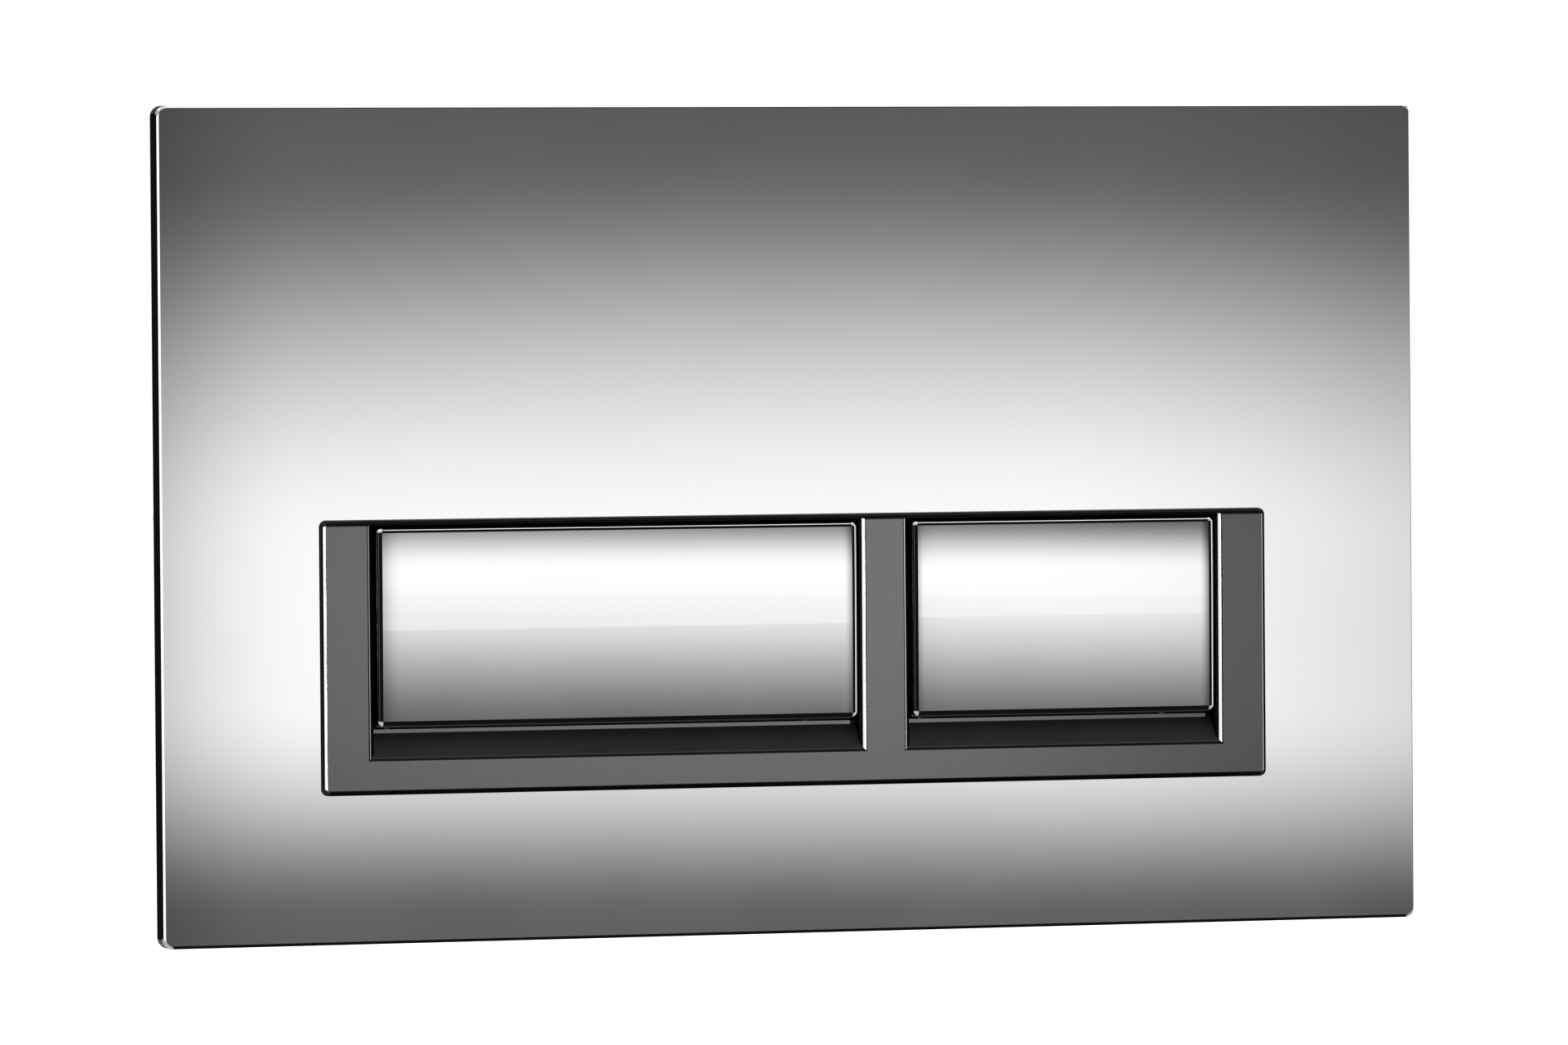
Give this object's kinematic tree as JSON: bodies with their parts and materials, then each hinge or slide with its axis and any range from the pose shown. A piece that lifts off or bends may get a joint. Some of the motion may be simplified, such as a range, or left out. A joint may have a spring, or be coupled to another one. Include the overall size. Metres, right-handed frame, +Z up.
{
  "type": "flush button plate",
  "caption": "Rectangular chrome wall plate with a dark insert, whose wide and narrow hinged buttons press spring-loaded levers and push rods to flush a concealed cistern.",
  "frame": {"origin": "centre of the plate on the wall's face", "axes": "+X to the right seen from the room, +Y into the wall, +Z up"},
  "size_m": [0.245, 0.0821, 0.155],
  "materials": {
    "cover_plate": "polished",
    "button_frame": "satin gunmetal",
    "full_flush_button": "polished",
    "half_flush_button": "polished",
    "full_flush_lever": "moulded",
    "half_flush_lever": "moulded",
    "full_flush_hinge_pin": "blackened",
    "half_flush_hinge_pin": "blackened",
    "full_flush_return_spring": "rolled",
    "half_flush_return_spring": "rolled",
    "rear_carrier": "moulded",
    "carrier_screws": "zinc plated",
    "stop_buffers": "matt",
    "mounting_frame": "moulded",
    "left_fixing_bolt": "moulded",
    "right_fixing_bolt": "moulded",
    "full_flush_rod_guide": "moulded",
    "half_flush_rod_guide": "moulded",
    "full_flush_push_rod": "moulded",
    "half_flush_push_rod": "moulded",
    "full_flush_rod_head": "moulded",
    "half_flush_rod_head": "moulded"
  },
  "bodies": {
    "plate": {"cover_plate": "cover_plate", "button_frame": "button_frame", "full_flush_hinge_pin": "full_flush_hinge_pin", "half_flush_hinge_pin": "half_flush_hinge_pin", "full_flush_return_spring": "full_flush_return_spring", "half_flush_return_spring": "half_flush_return_spring", "rear_carrier": "rear_carrier", "carrier_screws": "carrier_screws", "stop_buffers": "stop_buffers", "mounting_frame": "mounting_frame", "left_fixing_bolt": "left_fixing_bolt", "right_fixing_bolt": "right_fixing_bolt", "full_flush_rod_guide": "full_flush_rod_guide", "half_flush_rod_guide": "half_flush_rod_guide"},
    "full_flush_key": {"full_flush_button": "full_flush_button", "full_flush_lever": "full_flush_lever"},
    "half_flush_key": {"half_flush_button": "half_flush_button", "half_flush_lever": "half_flush_lever"},
    "full_flush_rod": {"full_flush_push_rod": "full_flush_push_rod", "full_flush_rod_head": "full_flush_rod_head"},
    "half_flush_rod": {"half_flush_push_rod": "half_flush_push_rod", "half_flush_rod_head": "half_flush_rod_head"}
  },
  "joints": [
    {"name": "full_flush_press", "type": "hinge", "parent": "plate", "child": "full_flush_key", "pos_m": [-0.0353, -0.001, -0.0042], "axis": [1, 0, 0], "range_deg": [0, 6.5], "stiffness_Nm_per_rad": 0.5, "springref_deg": -5.73, "deforming": ["full_flush_return_spring"]},
    {"name": "half_flush_press", "type": "hinge", "parent": "plate", "child": "half_flush_key", "pos_m": [0.05185, -0.001, -0.0042], "axis": [1, 0, 0], "range_deg": [0, 6.5], "stiffness_Nm_per_rad": 0.5, "springref_deg": -5.73, "deforming": ["half_flush_return_spring"]},
    {"name": "full_flush_rod_slide", "type": "slide", "parent": "plate", "child": "full_flush_rod", "axis": [0, 1, 0], "range_m": [0, 0.003]},
    {"name": "half_flush_rod_slide", "type": "slide", "parent": "plate", "child": "half_flush_rod", "axis": [0, 1, 0], "range_m": [0, 0.003]}
  ],
  "couplings": [
    {"joint": "full_flush_rod_slide", "follows": "full_flush_press", "m_per_rad": 0.0259},
    {"joint": "half_flush_rod_slide", "follows": "half_flush_press", "m_per_rad": 0.0259}
  ]
}
